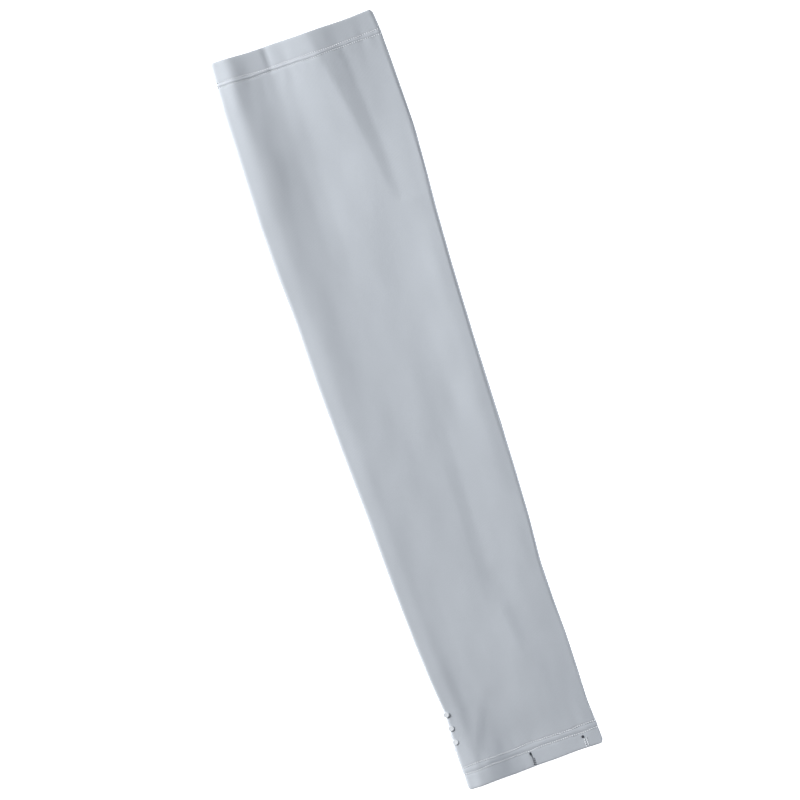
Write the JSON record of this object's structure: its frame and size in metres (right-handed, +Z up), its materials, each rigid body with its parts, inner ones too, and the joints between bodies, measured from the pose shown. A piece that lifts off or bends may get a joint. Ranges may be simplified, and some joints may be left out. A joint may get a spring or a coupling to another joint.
{
  "type": "arm sleeve",
  "caption": "Light grey stretch-knit arm sleeve laid flat, with folded hems, a welted thumb slot, a flatlock seam and raised grip dots on the palm side.",
  "frame": {"origin": "on the table, under the middle of the sleeve's box", "axes": "+Y along the sleeve towards the upper-arm opening, +X towards the seam and thumb edge, +Z up through the back-of-hand side"},
  "size_m": [0.1046, 0.4508, 0.015],
  "materials": {
    "knit": "fine stretch knit, matt with a soft sheen",
    "thread": "flatlock stitching in a lighter thread",
    "silicone": "raised translucent silicone print",
    "label": "dark navy woven tape, plain"
  },
  "bodies": {
    "root": {"sleeve_body": "knit", "arm_hem": "knit", "hand_hem": "knit", "flatlock_seam": "thread", "thumb_welt": "knit", "inner_label": "label", "grip_dot_01": "silicone", "grip_dot_02": "silicone", "grip_dot_03": "silicone", "grip_dot_04": "silicone", "grip_dot_05": "silicone", "grip_dot_06": "silicone", "grip_dot_07": "silicone", "grip_dot_08": "silicone", "grip_dot_09": "silicone", "grip_dot_10": "silicone", "grip_dot_11": "silicone", "grip_dot_12": "silicone", "grip_dot_13": "silicone", "grip_dot_14": "silicone", "grip_dot_15": "silicone", "grip_dot_16": "silicone", "grip_dot_17": "silicone", "grip_dot_18": "silicone", "grip_dot_19": "silicone", "grip_dot_20": "silicone", "grip_dot_21": "silicone", "grip_dot_22": "silicone", "grip_dot_23": "silicone", "grip_dot_24": "silicone", "grip_dot_25": "silicone", "grip_dot_26": "silicone", "grip_dot_27": "silicone", "grip_dot_28": "silicone", "grip_dot_29": "silicone", "grip_dot_30": "silicone", "grip_dot_31": "silicone", "grip_dot_32": "silicone", "grip_dot_33": "silicone", "grip_dot_34": "silicone", "grip_dot_35": "silicone", "grip_dot_36": "silicone", "grip_dot_37": "silicone", "grip_dot_38": "silicone", "grip_dot_39": "silicone", "grip_dot_40": "silicone", "grip_dot_41": "silicone", "grip_dot_42": "silicone", "grip_dot_43": "silicone", "grip_dot_44": "silicone", "grip_dot_45": "silicone"}
  },
  "joints": []
}
